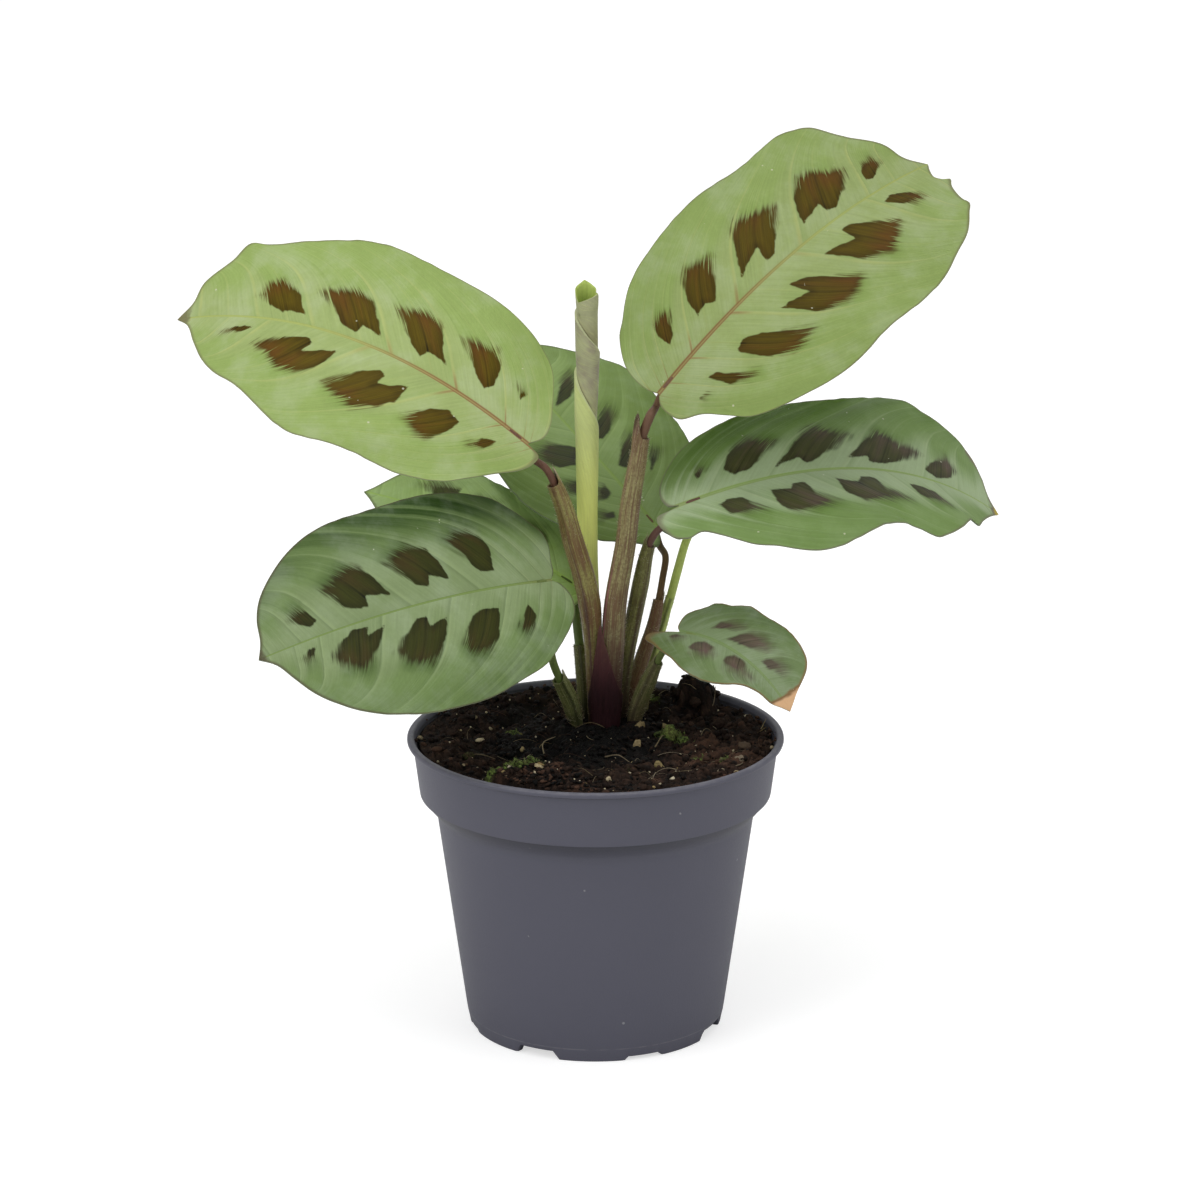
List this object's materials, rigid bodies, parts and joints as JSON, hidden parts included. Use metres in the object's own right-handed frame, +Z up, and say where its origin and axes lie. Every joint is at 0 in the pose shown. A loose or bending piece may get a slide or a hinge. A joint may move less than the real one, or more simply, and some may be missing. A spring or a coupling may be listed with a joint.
{
  "type": "potted prayer plant",
  "caption": "Young prayer plant with oval, dark-blotched leaves on sheathed stalks round a rolled new leaf, in a small round grey nursery pot of soil.",
  "frame": {"origin": "on the pot's axis at the flat centre pad under the pot, level with its feet, on the surface the pot stands on", "axes": "+Z up; -Y is the front, the side the picture was taken from; +X is to the right seen from the front"},
  "size_m": [0.1346, 0.1061, 0.1375],
  "materials": {
    "pot_plastic": "moulded grey polypropylene, satin, finely pitted",
    "potting_soil": "moist dark peat mix, crumbly",
    "leaf_light": "young yellow-green leaf with brown blotches, satin",
    "leaf_dark": "mature green leaf with dark olive blotches, satin",
    "leaf_rolled": "rolled new leaf, smooth",
    "stalk_purple": "fine-haired purple-brown sheath with green streaks",
    "stalk_olive": "olive-brown sheath",
    "stalk_green": "green sheath and stalk"
  },
  "bodies": {
    "root": {"pot": "pot_plastic", "soil": "potting_soil", "upper_left_blade": "leaf_light", "upper_left_stalk": "stalk_purple", "upper_right_blade": "leaf_light", "upper_right_stalk": "stalk_purple", "right_blade": "leaf_dark", "right_stalk": "stalk_olive", "lower_left_blade": "leaf_dark", "lower_left_stalk": "stalk_green", "small_right_blade": "leaf_dark", "small_right_stalk": "stalk_green", "back_centre_blade": "leaf_dark", "back_centre_stalk": "stalk_olive", "back_left_blade": "leaf_dark", "back_left_stalk": "stalk_green", "back_right_blade": "leaf_light", "back_right_stalk": "stalk_green", "rolled_leaf": "leaf_rolled"}
  },
  "joints": []
}
